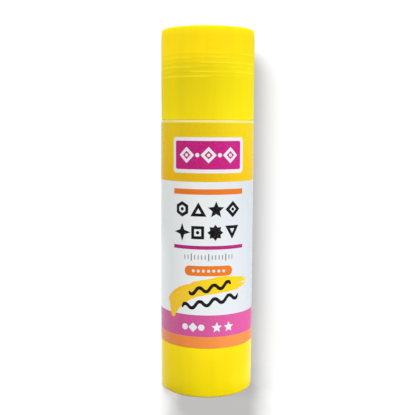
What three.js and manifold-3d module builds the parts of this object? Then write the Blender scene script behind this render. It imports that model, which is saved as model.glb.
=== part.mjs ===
// A twist-up glue stick for 36 g of glue: turning the knob at its foot drives a screw that lifts
// a cup of solid glue out of the barrel, and a push-on cap keeps the glue from drying.
// Millimetres, +Z up along the stick, with the origin at the middle of the face it stands on.
import * as THREE from "three";
import { mergeVertices } from "three/addons/utils/BufferGeometryUtils.js";
import Module from "manifold-3d";

// The outside of the stick
const overallHeight = 115.8;
const bodyRadius = 15;
const aroundSteps = 60;

// The cap: a thin cup with grip rings outside, a snap bead and a sealing skirt inside
const capHeight = 28.3;
const capInset = 0.07;
const capWall = 1;
const capTopThickness = 1.4;
const capEdgeRound = 0.8;
const capMouthChamfer = 0.2;
const gripRingCount = 6;
const gripRingPitch = 1.41;
const gripRingProud = 0.12;
const gripRingsBelowTop = 8.2;
const capBeadProud = 0.22;
const capBeadHeight = 1.2;
const capBeadAboveMouth = 2.2;
const skirtWall = 0.8;
const skirtReach = 1.5;
const skirtClearance = 0.2;
const skirtChamfer = 0.35;

// The barrel: a straight bore, a neck under the cap and a spigot that snaps into the knob
const capSeatGap = 0.2;
const neckLength = 21.3;
const neckClearance = 0.4;
const neckWall = 0.85;
const neckRimChamfer = 0.25;
const neckBeadProud = 0.16;
const neckBeadHeight = 1;
const neckBeadAboveShoulder = 5.2;
const spigotLength = 7.7;
const spigotClearance = 0.45;
const spigotBeadProud = 0.34;
const spigotBeadHeight = 1.6;
const guideRibCount = 4;
const guideRibWidth = 1.4;
const guideRibProud = 0.5;
const guideRibBelowRim = 4.5;

// The label: a printed film wrapped round the barrel
const labelThickness = 0.15;
const labelGap = 0.05;
const labelTopMargin = 0.65;

// The knob: a cup that turns on the barrel's spigot, with a hexagonal socket for the screw
const knobHeight = 16;
const knobSeamGap = 0.2;
const knobWall = 1.15;
const knobEdgeRound = 0.55;
const knobRimChamfer = 0.2;
const knobFloorThickness = 1.4;
const footRingHeight = 1;
const footRingWidth = 1.9;
const knobRidgeProud = 0.32;
const knobRidgeHeight = 1.2;
const knobRidgeAboveBead = 0.3;
const socketRadius = 6.5;
const socketHeight = 5.6;
const socketFloorThickness = 0.5;

// The screw: a coarse left-hand thread, so that the knob turns clockwise from below to raise the glue
const screwCoreRadius = 2.9;
const screwCrestRadius = 4.2;
const screwLead = 6;
const screwTurns = 12;
const threadRootWidth = 2.5;
const threadCrestWidth = 1.3;
const threadStepsPerTurn = 20;
const threadFadeTurns = 0.25;
const screwFlangeRadius = 6.5;
const screwFlangeThickness = 1.2;
const screwTipLength = 1;
const hexAcrossFlats = 8;
const hexClearance = 0.2;
const seatGap = 0.3;

// The carrier: a cup with a threaded hub that rides up the screw
const carrierHeight = 18.2;
const carrierWall = 1.3;
const carrierFloorThickness = 1.4;
const cupDepth = 7.6;
const hubRadius = 6.2;
const bodySlideClearance = 0.25;
const threadRadialClearance = 0.25;
const threadAxialClearance = 0.25;
const finCount = 4;
const finThickness = 0.9;
const finHeight = 4.6;

// The glue
const glueBelowRim = 4;
const glueCrown = 0.2;
const glueEdgeRound = 0.5;

// Places that follow from those sizes
const capRadius = bodyRadius - capInset;
const capBoreRadius = capRadius - capWall;
const capMouthZ = overallHeight - capHeight;
const capCeilingZ = overallHeight - capTopThickness;
const shoulderZ = capMouthZ - capSeatGap;
const neckRadius = capBoreRadius - neckClearance;
const neckRimZ = shoulderZ + neckLength;
const boreRadius = neckRadius - neckWall;
const barrelRadius = bodyRadius - labelThickness - labelGap;
const barrelFootZ = knobHeight + knobSeamGap;
const spigotFootZ = barrelFootZ - spigotLength;
const knobBoreRadius = bodyRadius - knobWall;
const spigotRadius = knobBoreRadius - spigotClearance;
const knobFloorZ = footRingHeight + knobFloorThickness;
const socketTopZ = knobFloorZ + socketHeight;
const flangeTopZ = socketTopZ + seatGap + screwFlangeThickness;
const carrierZ = flangeTopZ + seatGap;
const carrierRadius = boreRadius - bodySlideClearance;
const cupRadius = carrierRadius - carrierWall;
const cupFloorTop = carrierHeight - cupDepth;
const travel = screwLead * screwTurns;
const threadPhaseZ = carrierZ;
const screwTopZ = carrierZ + cupFloorTop + travel + screwTipLength;
const glueRadius = boreRadius - bodySlideClearance;
const glueTopZ = neckRimZ - glueBelowRim;
const guideRibFootZ = spigotFootZ + spigotBeadHeight;
const guideRibTopZ = neckRimZ - guideRibBelowRim;
const hexRadius = hexAcrossFlats / Math.sqrt(3);

const wasm = await Module();
wasm.setup();

// A closed geometry as a solid that can be joined and cut
function solidOf(geometry) {
  const plain = geometry.index ? geometry.toNonIndexed() : geometry.clone();
  plain.deleteAttribute("normal");
  plain.deleteAttribute("uv");
  const merged = mergeVertices(plain, 1e-4);
  const vertProperties = Float32Array.from(merged.attributes.position.array);
  const triVerts = Uint32Array.from(merged.index.array);
  return new wasm.Manifold(new wasm.Mesh({ numProp: 3, vertProperties, triVerts }));
}

function geometryOf(solid) {
  const mesh = solid.getMesh();
  const geometry = new THREE.BufferGeometry();
  geometry.setAttribute("position", new THREE.BufferAttribute(mesh.vertProperties, 3));
  geometry.setIndex(new THREE.BufferAttribute(mesh.triVerts, 1));
  const faceted = geometry.toNonIndexed();
  faceted.computeVertexNormals();
  return faceted;
}

// A profile of [radius, height] points turned round the stick's axis
function turned(profile, steps = aroundSteps) {
  const points = profile.map(([radius, height]) => new THREE.Vector2(radius, height));
  return new THREE.LatheGeometry(points, steps).rotateX(Math.PI / 2);
}

function closed(profile) {
  return [...profile, profile[0]];
}

// A quarter round from one point to the next about their shared corner, as profile points
function quarterRound(centre, radius, fromAngle, steps) {
  const points = [];
  for (let i = 0; i <= steps; i++) {
    const angle = fromAngle + ((Math.PI / 2) * i) / steps;
    points.push([centre[0] + radius * Math.cos(angle), centre[1] + radius * Math.sin(angle)]);
  }
  return points;
}

// A low bead on a wall, as profile points going up (direction 1) or down (direction -1)
function bead(wallRadius, crestRadius, middle, height, direction) {
  const half = (direction * height) / 2;
  return [
    [wallRadius, middle - half],
    [crestRadius, middle - half / 3],
    [crestRadius, middle + half / 3],
    [wallRadius, middle + half],
  ];
}

// A block that stands out along a radius, turned to its place round the axis
function radialBlock(innerRadius, outerRadius, width, bottom, top, angle) {
  const block = new THREE.BoxGeometry(outerRadius - innerRadius, width, top - bottom);
  block.translate((innerRadius + outerRadius) / 2, 0, (bottom + top) / 2);
  return solidOf(block.rotateZ(angle));
}

function aroundAxis(count, makeSolid) {
  return Array.from({ length: count }, (_, i) => makeSolid((2 * Math.PI * (i + 0.5)) / count));
}

// A rod with the screw's left-hand thread, from one height to another. The thread's middle faces
// the front at phaseZ. The clearances make it the cutter for a nut's thread.
function threadedRod(bottom, top, phaseZ, radialClearance, axialClearance) {
  const turn = threadStepsPerTurn;
  const stepHeight = screwLead / turn;
  const core = screwCoreRadius + radialClearance;
  const depth = screwCrestRadius - screwCoreRadius;
  const rootHalf = threadRootWidth / 2 + axialClearance;
  const crestHalf = threadCrestWidth / 2 + axialClearance;
  const first = Math.ceil((bottom + rootHalf - phaseZ) / stepHeight + 0.5);
  const last = Math.floor((top - rootHalf - phaseZ) / stepHeight - 0.5);
  const positions = [];
  const triangles = [];
  const point = (radius, step, height) => {
    const angle = (-2 * Math.PI * step) / turn;
    return positions.push(radius * Math.sin(angle), -radius * Math.cos(angle), height) / 3 - 1;
  };
  const quad = (lower, upper, nextUpper, nextLower) => {
    triangles.push(nextLower, lower, upper, nextLower, upper, nextUpper);
  };
  const fan = (tip, chain) => {
    for (let i = 1; i < chain.length; i++) triangles.push(tip, chain[i - 1], chain[i]);
  };

  // One section of the thread a step: root, crest, crest, root, from below
  const sections = [];
  for (let step = first; step <= last; step++) {
    const share = Math.min(1, Math.min(step - first, last - step) / (threadFadeTurns * turn));
    const middle = phaseZ + step * stepHeight;
    sections.push([
      point(core, step, middle - rootHalf),
      point(core + depth * share, step, middle - crestHalf),
      point(core + depth * share, step, middle + crestHalf),
      point(core, step, middle + rootHalf),
    ]);
  }
  const end = sections.length - 1;
  const foot = Array.from({ length: turn }, (_, i) => point(core, first + i, bottom));
  const head = Array.from({ length: turn }, (_, i) => point(core, last - turn + 1 + i, top));

  for (let i = 0; i < end; i++) {
    for (let side = 0; side < 3; side++) {
      quad(sections[i][side], sections[i][side + 1], sections[i + 1][side + 1], sections[i + 1][side]);
    }
  }
  for (let i = 0; i < end - turn; i++) {
    quad(sections[i][3], sections[i + turn][0], sections[i + turn + 1][0], sections[i + 1][3]);
  }
  for (let i = 0; i < turn - 1; i++) {
    const high = end - turn + 1 + i;
    quad(foot[i], sections[i][0], sections[i + 1][0], foot[i + 1]);
    quad(sections[high][3], head[i], head[i + 1], sections[high + 1][3]);
  }

  // Where the first and the last turn close on themselves
  fan(sections[turn - 1][0], [sections[turn][0], ...sections[0].slice().reverse(), foot[0], foot[turn - 1]]);
  fan(sections[end - turn + 1][3], [sections[end - turn][3], ...sections[end], head[turn - 1], head[0]]);

  const footMiddle = point(0, 0, bottom);
  const headMiddle = point(0, 0, top);
  for (let i = 0; i < turn; i++) {
    const next = (i + 1) % turn;
    triangles.push(footMiddle, foot[i], foot[next], headMiddle, head[next], head[i]);
  }
  const geometry = new THREE.BufferGeometry();
  geometry.setAttribute("position", new THREE.Float32BufferAttribute(positions, 3));
  geometry.setIndex(triangles);
  return solidOf(geometry);
}

function hexPrism(radius, bottom, top) {
  const prism = new THREE.CylinderGeometry(radius, radius, top - bottom, 6).rotateX(Math.PI / 2);
  return solidOf(prism.translate(0, 0, (bottom + top) / 2));
}

function capGeometry() {
  const ceiling = capCeilingZ - capMouthZ;
  const skirtFoot = neckRimZ - skirtReach - capMouthZ;
  const skirtRadius = boreRadius - skirtClearance;
  const skirtBore = skirtRadius - skirtWall;
  const beadMiddle = capBeadAboveMouth + capBeadHeight / 2;
  const rings = [];
  for (let ring = gripRingCount - 1; ring >= 0; ring--) {
    const middle = capHeight - gripRingsBelowTop - ring * gripRingPitch;
    rings.push([capRadius, middle - gripRingPitch / 2]);
    rings.push([capRadius + gripRingProud, middle]);
  }
  rings.push([capRadius, capHeight - gripRingsBelowTop + gripRingPitch / 2]);
  return turned([
    [0, ceiling],
    [skirtBore, ceiling],
    [skirtBore, skirtFoot],
    [skirtRadius - skirtChamfer, skirtFoot],
    [skirtRadius, skirtFoot + 2 * skirtChamfer],
    [skirtRadius, ceiling],
    [capBoreRadius, ceiling],
    ...bead(capBoreRadius, capBoreRadius - capBeadProud, beadMiddle, capBeadHeight, -1),
    [capBoreRadius, capMouthChamfer],
    [capBoreRadius + capMouthChamfer, 0],
    [capRadius - capMouthChamfer / 2, 0],
    [capRadius, capMouthChamfer],
    ...rings,
    ...quarterRound([capRadius - capEdgeRound, capHeight - capEdgeRound], capEdgeRound, 0, 3),
    [0, capHeight],
  ]);
}

function barrelGeometry() {
  const shoulder = shoulderZ - spigotFootZ;
  const rim = neckRimZ - spigotFootZ;
  const neckBeadMiddle = shoulder + neckBeadAboveShoulder;
  const spigotBeadRadius = spigotRadius + spigotBeadProud;
  const tube = turned(closed([
    [boreRadius, 0],
    [spigotRadius, 0],
    [spigotBeadRadius, spigotBeadHeight / 2],
    [spigotBeadRadius, spigotBeadHeight],
    [spigotRadius, spigotBeadHeight],
    [spigotRadius, spigotLength],
    [barrelRadius, spigotLength],
    [barrelRadius, shoulder],
    [neckRadius, shoulder],
    ...bead(neckRadius, neckRadius + neckBeadProud, neckBeadMiddle, neckBeadHeight, 1),
    [neckRadius, rim - neckRimChamfer],
    [neckRadius - neckRimChamfer, rim],
    [boreRadius, rim],
  ]));
  const ribRoot = boreRadius + neckWall / 2;
  const ribFoot = guideRibFootZ - spigotFootZ;
  const ribTop = guideRibTopZ - spigotFootZ;
  const ribs = aroundAxis(guideRibCount, (angle) =>
    radialBlock(boreRadius - guideRibProud, ribRoot, guideRibWidth, ribFoot, ribTop, angle));
  return geometryOf(ribs.reduce((made, rib) => made.add(rib), solidOf(tube)));
}

function labelGeometry() {
  const labelBore = barrelRadius + labelGap;
  const height = shoulderZ - labelTopMargin - barrelFootZ;
  return turned(closed([
    [labelBore, 0],
    [bodyRadius, 0],
    [bodyRadius, height],
    [labelBore, height],
  ]));
}

function knobGeometry() {
  const footInner = bodyRadius - knobEdgeRound - footRingWidth;
  const ridgeFoot = spigotFootZ + spigotBeadHeight + knobRidgeAboveBead;
  const ridgeMiddle = ridgeFoot + knobRidgeHeight / 2;
  const ridgeRadius = knobBoreRadius - knobRidgeProud;
  const cup = solidOf(turned([
    [0, footRingHeight],
    [footInner - knobRimChamfer, footRingHeight],
    [footInner, 0],
    ...quarterRound([bodyRadius - knobEdgeRound, knobEdgeRound], knobEdgeRound, -Math.PI / 2, 3),
    [bodyRadius, knobHeight - knobRimChamfer],
    [bodyRadius - knobRimChamfer, knobHeight],
    [knobBoreRadius + knobRimChamfer, knobHeight],
    [knobBoreRadius, knobHeight - knobRimChamfer],
    ...bead(knobBoreRadius, ridgeRadius, ridgeMiddle, knobRidgeHeight, -1),
    [knobBoreRadius, knobFloorZ],
    [socketRadius, knobFloorZ],
    [socketRadius, socketTopZ],
    [0, socketTopZ],
  ]));
  const socketRadiusAtCorners = hexRadius + (2 * hexClearance) / Math.sqrt(3);
  const socketFoot = footRingHeight + knobFloorThickness + socketFloorThickness;
  return geometryOf(cup.subtract(hexPrism(socketRadiusAtCorners, socketFoot, socketTopZ + 1)));
}

function spindleGeometry() {
  const flangeFootZ = socketTopZ + seatGap;
  const footZ = footRingHeight + knobFloorThickness + socketFloorThickness + seatGap;
  const middleOfFlange = flangeTopZ - screwFlangeThickness / 2;
  const flange = solidOf(turned([
    [0, flangeFootZ],
    [screwFlangeRadius, flangeFootZ],
    [screwFlangeRadius, flangeTopZ],
    [0, flangeTopZ],
  ]));
  const hexFoot = hexPrism(hexRadius, footZ, middleOfFlange);
  const rod = threadedRod(middleOfFlange, screwTopZ, threadPhaseZ, 0, 0);
  return geometryOf(flange.add(hexFoot).add(rod).translate(0, 0, -footZ));
}

function carrierGeometry() {
  const floorBottom = cupFloorTop - carrierFloorThickness;
  const cup = solidOf(turned([
    [0, 0],
    [hubRadius, 0],
    [hubRadius, floorBottom],
    [cupRadius, floorBottom],
    [cupRadius, 0],
    [carrierRadius, 0],
    [carrierRadius, carrierHeight],
    [cupRadius, carrierHeight],
    [cupRadius, cupFloorTop],
    [0, cupFloorTop],
  ]));
  const fins = aroundAxis(finCount, (angle) =>
    radialBlock(hubRadius, cupRadius + carrierWall / 3, finThickness,
      cupFloorTop - carrierFloorThickness / 2, cupFloorTop + finHeight, angle + Math.PI / finCount));
  const notches = aroundAxis(guideRibCount, (angle) =>
    radialBlock(boreRadius - guideRibProud - bodySlideClearance, boreRadius + 1,
      guideRibWidth + 2 * bodySlideClearance, -1, carrierHeight + 1, angle));
  const reach = 2 * screwLead;
  const nut = threadedRod(-reach, cupFloorTop + reach, threadPhaseZ - carrierZ,
    threadRadialClearance, threadAxialClearance);
  const finned = fins.reduce((made, fin) => made.add(fin), cup);
  const notched = notches.reduce((made, notch) => made.subtract(notch), finned);
  return geometryOf(notched.subtract(nut));
}

function glueGeometry() {
  const foot = carrierZ + cupFloorTop + seatGap;
  const stepUp = carrierZ + carrierHeight + seatGap - foot;
  const top = glueTopZ - foot;
  const wellTop = screwTopZ + seatGap - foot;
  const wellRadius = screwCrestRadius + seatGap;
  const plugRadius = cupRadius - seatGap;
  const block = solidOf(turned([
    [0, wellTop],
    [wellRadius, wellTop],
    [wellRadius, 0],
    [plugRadius, 0],
    [plugRadius, stepUp],
    [glueRadius, stepUp],
    ...quarterRound([glueRadius - glueEdgeRound, top - glueCrown - glueEdgeRound], glueEdgeRound, 0, 2),
    [0, top],
  ]));
  const finSlots = aroundAxis(finCount, (angle) =>
    radialBlock(hubRadius - seatGap, cupRadius + 1, finThickness + 2 * seatGap,
      -1, finHeight, angle + Math.PI / finCount));
  const ribGrooves = aroundAxis(guideRibCount, (angle) =>
    radialBlock(boreRadius - guideRibProud - bodySlideClearance, boreRadius + 1,
      guideRibWidth + 2 * bodySlideClearance, -1, guideRibTopZ + seatGap - foot, angle));
  return geometryOf([...finSlots, ...ribGrooves].reduce((made, cut) => made.subtract(cut), block));
}

const finishes = {
  yellowPlastic: { color: 0xf2d80f, roughness: 0.38, metalness: 0 },
  whitePlastic: { color: 0xeceef0, roughness: 0.35, metalness: 0 },
  labelFilm: { color: 0xe6e9ee, roughness: 0.3, metalness: 0 },
  naturalPlastic: { color: 0xe4e4de, roughness: 0.45, metalness: 0 },
  glue: { color: 0xf1efe6, roughness: 0.5, metalness: 0 },
};

function piece(name, geometry, finish, height) {
  const mesh = new THREE.Mesh(geometry, new THREE.MeshStandardMaterial(finishes[finish]));
  mesh.name = name;
  mesh.position.z = height;
  return mesh;
}

function assembly(...pieces) {
  const group = new THREE.Group();
  group.add(...pieces);
  return group;
}

const spindleFootZ = footRingHeight + knobFloorThickness + socketFloorThickness + seatGap;
const housing = assembly(
  piece("barrel", barrelGeometry(), "whitePlastic", spigotFootZ),
  piece("label", labelGeometry(), "labelFilm", barrelFootZ),
);
const turningBase = assembly(
  piece("knob", knobGeometry(), "yellowPlastic", 0),
  piece("spindle", spindleGeometry(), "naturalPlastic", spindleFootZ),
);
const lift = assembly(
  piece("carrier", carrierGeometry(), "naturalPlastic", carrierZ),
  piece("glue", glueGeometry(), "glue", carrierZ + cupFloorTop + seatGap),
);
const closure = assembly(piece("cap", capGeometry(), "yellowPlastic", capMouthZ));

export default assembly(housing, turningBase, lift, closure);
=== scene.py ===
# %% [markdown]
# # A twist-up glue stick
# The stick stands upright on its turning knob. Above the knob come the barrel in its printed film
# and the push-on cap. Inside there are a screw, the carrier that rides on it and the solid glue.
# Almost every piece of such a stick is round, so each one is drawn as half of its cross section
# and spun about the stick's axis, as on a lathe. What isn't round is then shaped in edit mode.
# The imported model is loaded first. It gives the bodies that the pieces ride on.

# %% Load the frame
import math
from functools import partial

import bpy
from mathutils import Matrix, Vector


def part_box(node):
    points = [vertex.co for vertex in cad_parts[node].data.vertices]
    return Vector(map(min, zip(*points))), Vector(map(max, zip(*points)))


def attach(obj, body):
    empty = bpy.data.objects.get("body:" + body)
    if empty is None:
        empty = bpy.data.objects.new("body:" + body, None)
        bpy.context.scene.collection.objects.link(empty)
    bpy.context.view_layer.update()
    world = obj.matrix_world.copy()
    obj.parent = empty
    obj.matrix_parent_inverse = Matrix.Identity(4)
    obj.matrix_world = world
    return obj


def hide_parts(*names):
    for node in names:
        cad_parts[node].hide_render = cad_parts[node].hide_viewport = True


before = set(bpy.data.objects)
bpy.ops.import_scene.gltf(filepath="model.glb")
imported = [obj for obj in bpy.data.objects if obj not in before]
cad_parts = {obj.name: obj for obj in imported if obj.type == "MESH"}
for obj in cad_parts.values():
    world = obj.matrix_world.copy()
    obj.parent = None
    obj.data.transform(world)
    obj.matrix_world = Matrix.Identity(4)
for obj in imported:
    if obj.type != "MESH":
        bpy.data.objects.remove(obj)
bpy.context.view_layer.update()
print("nodes:", sorted(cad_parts))

# %% [markdown]
# ## Working in millimetres
# Blender measures in metres, while a moulder thinks in millimetres and tenths. All sizes of the
# stick are in millimetres here, and are turned into metres where an operator needs them. Only the
# lamps and the camera are placed in metres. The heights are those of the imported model, which leaves
# gaps of 0.2 mm at the two joints that can be seen. The real pieces close up further, so the film
# comes down to a hair above the knob, and the barrel's shoulder up to the cap's mouth.

# %% The stick's sizes
MM = 0.001
BODY_RADIUS = 15.0
CAP_RADIUS = 14.93
STICK_HEIGHT = 115.8
KNOB_JOINT = 0.09
CAP_JOINT = 0.05
CAP_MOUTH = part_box("cap")[0].z / MM
KNOB_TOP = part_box("knob")[1].z / MM
FILM_FOOT = KNOB_TOP + KNOB_JOINT
FILM_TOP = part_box("label")[1].z / MM
SPIGOT_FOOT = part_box("barrel")[0].z / MM
NECK_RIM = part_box("barrel")[1].z / MM
GLUE_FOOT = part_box("glue")[0].z / MM
GLUE_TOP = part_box("glue")[1].z / MM
SHOULDER = CAP_MOUTH - CAP_JOINT
print("cap mouth", round(CAP_MOUTH, 2), "film", round(FILM_FOOT, 2), "to", round(FILM_TOP, 2))

# %% [markdown]
# ## Helpers for turned pieces
# A moulded edge is never sharp, because the mould's own corners are rounded. The outline of a piece
# is therefore given by its corners, each with the radius of its rounding, and the first helper puts
# a short arc in place of each rounded corner.

# %% Rounded outlines
def rounded(corners, arc_steps=5):
    outline = []
    for i, corner in enumerate(corners):
        here, rounding = Vector(corner[:2]), corner[2] if len(corner) > 2 else 0
        if not rounding:
            outline.append(here)
            continue
        back = (Vector(corners[i - 1][:2]) - here).normalized()
        onward = (Vector(corners[(i + 1) % len(corners)][:2]) - here).normalized()
        half = back.angle(onward) / 2
        centre = here + (back + onward).normalized() * (rounding / math.sin(half))
        first = here + back * (rounding / math.tan(half)) - centre
        last = here + onward * (rounding / math.tan(half)) - centre
        for step in range(arc_steps + 1):
            outline.append(centre + first.slerp(last, step / arc_steps).normalized() * rounding)
    return outline


square = [(0, 0), (4, 0), (4, 4, 1), (0, 4)]
print("a square with one rounded corner:", len(rounded(square)), "points")

# %% [markdown]
# The second helper is the lathe. It starts from a small plane, merges that to a single point and
# extrudes the point along the outline. The half section is then spun once round the stick's axis.
# The last step meets the first, and the ends on the axis fall on one point, so the doubles are
# merged before the faces are turned outwards.

# %% The lathe
TURN_STEPS = 180
SAME_POINT = 0.003
NO_LENGTH = 0.001
SMOOTH_ANGLE = math.radians(32)


def pick_only(piece):
    bpy.ops.object.select_all(action="DESELECT")
    piece.select_set(True)
    bpy.context.view_layer.objects.active = piece


def turned(name, outline):
    bpy.ops.object.select_all(action="DESELECT")
    bpy.ops.mesh.primitive_plane_add(size=MM, location=(0, 0, 0))
    piece = bpy.context.active_object
    piece.name = piece.data.name = name
    bpy.ops.object.mode_set(mode="EDIT")
    bpy.ops.mesh.select_mode(type="VERT")
    bpy.ops.mesh.select_all(action="SELECT")
    bpy.ops.mesh.merge(type="CENTER")
    bpy.ops.transform.translate(value=(outline[0][0] * MM, 0, outline[0][1] * MM))
    for here, there in zip(outline, outline[1:]):
        step = ((there[0] - here[0]) * MM, 0, (there[1] - here[1]) * MM)
        bpy.ops.mesh.extrude_region_move(TRANSFORM_OT_translate={"value": step})
    bpy.ops.mesh.select_all(action="SELECT")
    bpy.ops.mesh.spin(steps=TURN_STEPS, angle=math.tau, center=(0, 0, 0), axis=(0, 0, 1))
    bpy.ops.mesh.select_all(action="SELECT")
    bpy.ops.mesh.remove_doubles(threshold=SAME_POINT * MM)
    bpy.ops.mesh.dissolve_degenerate(threshold=NO_LENGTH * MM)
    bpy.ops.mesh.normals_make_consistent(inside=False)
    bpy.ops.object.mode_set(mode="OBJECT")
    bpy.ops.object.shade_smooth_by_angle(angle=SMOOTH_ANGLE)
    print(name, "has", len(piece.data.polygons), "faces")
    return piece


# %% [markdown]
# The cap, the barrel and the knob hold together by snap beads, low rounded ridges round a wall. The
# third helper lists the four corners of one. It gives them upwards, or with way=-1 downwards, for
# an outline that is on its way down.

# %% Snap beads
def snap_bead(wall, middle, proud, half, flat, rounding, way=1):
    return [
        (wall, middle - way * half, rounding),
        (wall + proud, middle - way * flat, rounding / 2),
        (wall + proud, middle + way * flat, rounding / 2),
        (wall, middle + way * half, rounding),
    ]


print("a bead starts and ends on the wall:", snap_bead(10, 5, 0.2, 0.5, 0.2, 0.1)[::3])

# %% [markdown]
# ## The cap
# The real cap is a thin polypropylene cup. Six fine rings near its top give the fingers a grip, a
# bead inside its mouth snaps over the neck, and a skirt under its ceiling closes the barrel's bore.
# All of that is in one outline: it starts on the axis under the ceiling, goes round the skirt, down
# the inside, round the mouth and up the outside over the rings. Each ring is half a wave, only a
# fiftieth of a millimetre high. The wall leans in a little before it turns over the top edge, as a
# moulded cap does, and that band catches the light from above.

# %% The grip rings
RING_COUNT = 6
RING_PITCH = 1.41
RING_WIDTH = 0.78
RING_PROUD = 0.022
RING_STEPS = 8
LOWEST_RING = 100.55


def grip_rings(wall):
    points = []
    for ring in range(RING_COUNT):
        middle = LOWEST_RING + ring * RING_PITCH
        for step in range(RING_STEPS + 1):
            share = step / RING_STEPS
            proud = RING_PROUD * math.sin(math.pi * share)
            points.append((wall + proud, middle + RING_WIDTH * (share - 0.5)))
    return points


rings = grip_rings(CAP_RADIUS)
print("rings from", round(rings[0][1], 2), "to", round(rings[-1][1], 2), "mm")

# %% Turn the cap
CAP_CEILING = STICK_HEIGHT - 1.4
CAP_BORE = CAP_RADIUS - 1.0
SKIRT_FOOT = NECK_RIM - 1.5
SKIRT_INSIDE = 11.68
SKIRT_OUTSIDE = 12.48
cap_inside = rounded([
    (0, CAP_CEILING),
    (SKIRT_INSIDE, CAP_CEILING, 0.3),
    (SKIRT_INSIDE, SKIRT_FOOT, 0.1),
    (SKIRT_OUTSIDE - 0.35, SKIRT_FOOT, 0.1),
    (SKIRT_OUTSIDE, SKIRT_FOOT + 0.7, 0.3),
    (SKIRT_OUTSIDE, CAP_CEILING, 0.2),
    (CAP_BORE, CAP_CEILING, 0.3),
    *snap_bead(CAP_BORE, CAP_MOUTH + 2.8, -0.22, 0.7, 0.25, 0.3, way=-1),
    (CAP_BORE, CAP_MOUTH + 0.2, 0.1),
    (CAP_BORE + 0.2, CAP_MOUTH, 0.08),
    (CAP_RADIUS, CAP_MOUTH, 0.08),
])
cap_top = rounded([
    (CAP_RADIUS, 112.0),
    (CAP_RADIUS, 114.0, 12.0),
    (CAP_RADIUS - 0.2, STICK_HEIGHT - 0.02, 0.6),
    (9.0, STICK_HEIGHT - 0.01),
    # The mould's gate leaves a round dimple with a small nib in it.
    (2.1, STICK_HEIGHT - 0.02, 0.3),
    (1.7, STICK_HEIGHT - 0.3, 0.2),
    (0.62, STICK_HEIGHT - 0.3, 0.06),
    (0.5, STICK_HEIGHT - 0.1, 0.08),
    (0, STICK_HEIGHT - 0.12),
], arc_steps=7)
cap_shell = turned("cap_shell", cap_inside + rings + cap_top)
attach(cap_shell, "cap")
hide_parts("cap")

# %% [markdown]
# ## The barrel
# The barrel is a straight white tube. Its upper end steps in to the neck that the cap sits on, and
# its lower end steps in to the spigot that the knob snaps onto and turns round. The outline goes
# down the bore and up the outside, and comes back to where it started.

# %% Turn the barrel
BORE = 12.68
NECK = 13.53
WALL = 14.94
SPIGOT = 13.4
SPIGOT_BARB = 0.34
RIB_FOOT = SPIGOT_FOOT + 1.6
RIB_TOP = NECK_RIM - 5.2
barrel_outline = rounded([
    (BORE, NECK_RIM, 0.12),
    (BORE, RIB_TOP),
    (BORE, RIB_FOOT),
    (BORE, SPIGOT_FOOT, 0.1),
    (SPIGOT, SPIGOT_FOOT, 0.1),
    (SPIGOT + SPIGOT_BARB, SPIGOT_FOOT + 0.8, 0.2),
    (SPIGOT + SPIGOT_BARB, SPIGOT_FOOT + 1.6, 0.08),
    (SPIGOT, SPIGOT_FOOT + 1.6, 0.05),
    (SPIGOT, FILM_FOOT, 0.1),
    (WALL, FILM_FOOT, 0.1),
    (WALL, SHOULDER, 0.05),
    (NECK, SHOULDER, 0.2),
    *snap_bead(NECK, SHOULDER + 5.2, 0.16, 0.5, 0.17, 0.2),
    (NECK, NECK_RIM - 0.25, 0.15),
    (NECK - 0.25, NECK_RIM, 0.12),
])
barrel_tube = turned("barrel_tube", barrel_outline + barrel_outline[:1])

# %% [markdown]
# Four ribs in the bore keep the carrier from turning with the screw. They are part of the moulding,
# so they are pulled out of its own wall: the strips of wall where the ribs stand are selected,
# extruded, and scaled in towards the axis.

# %% Pull the guide ribs out of the bore
RIB_DEPTH = 0.5
RIB_HALF_ANGLE = 3
ON_WALL = 0.05


def in_strip(face, radius, foot, top, half_angle):
    x, y, z = (value / MM for value in face.center)
    aside = (math.degrees(math.atan2(y, x)) + 360) % 90 - 45
    off_wall = abs(math.hypot(x, y) - radius)
    return off_wall < ON_WALL and foot < z < top and abs(aside) < half_angle


def move_strips_in(piece, radius, foot, top, half_angle):
    pick_only(piece)
    bpy.ops.object.mode_set(mode="EDIT")
    bpy.ops.mesh.select_mode(type="FACE")
    bpy.ops.mesh.select_all(action="DESELECT")
    bpy.ops.object.mode_set(mode="OBJECT")
    for face in piece.data.polygons:
        face.select = in_strip(face, radius, foot, top, half_angle)
    count = sum(face.select for face in piece.data.polygons)
    bpy.ops.object.mode_set(mode="EDIT")
    bpy.ops.mesh.extrude_region()
    inward = (radius - RIB_DEPTH) / radius
    bpy.ops.transform.resize(value=(inward, inward, 1), center_override=(0, 0, 0))
    bpy.ops.object.mode_set(mode="OBJECT")
    bpy.ops.object.shade_smooth_by_angle(angle=SMOOTH_ANGLE)
    return count


ribs = move_strips_in(barrel_tube, BORE, RIB_FOOT, RIB_TOP, RIB_HALF_ANGLE)
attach(barrel_tube, "barrel")
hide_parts("barrel")
print("faces of wall pulled in for the ribs:", ribs)

# %% [markdown]
# ## The printed film
# The label is one strip of thin film, wrapped once round the barrel, with its end lapped over its
# start. The lap is the only place where the film's thickness shows, so it is worth making. A plane
# is merged into one upright edge at the stick's left side, out of the print's way, and is spun
# almost once round. Its last steps climb onto the first ones.

# %% Wrap the film
FILM_THICKNESS = 0.05
FILM_OUTSIDE = BODY_RADIUS - 0.003
FILM_INSIDE = FILM_OUTSIDE - FILM_THICKNESS
LAP_RISE = 0.052
WRAP_STEP = math.radians(2)
WRAP_STEPS = 179
LAP_STEPS = 7

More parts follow.
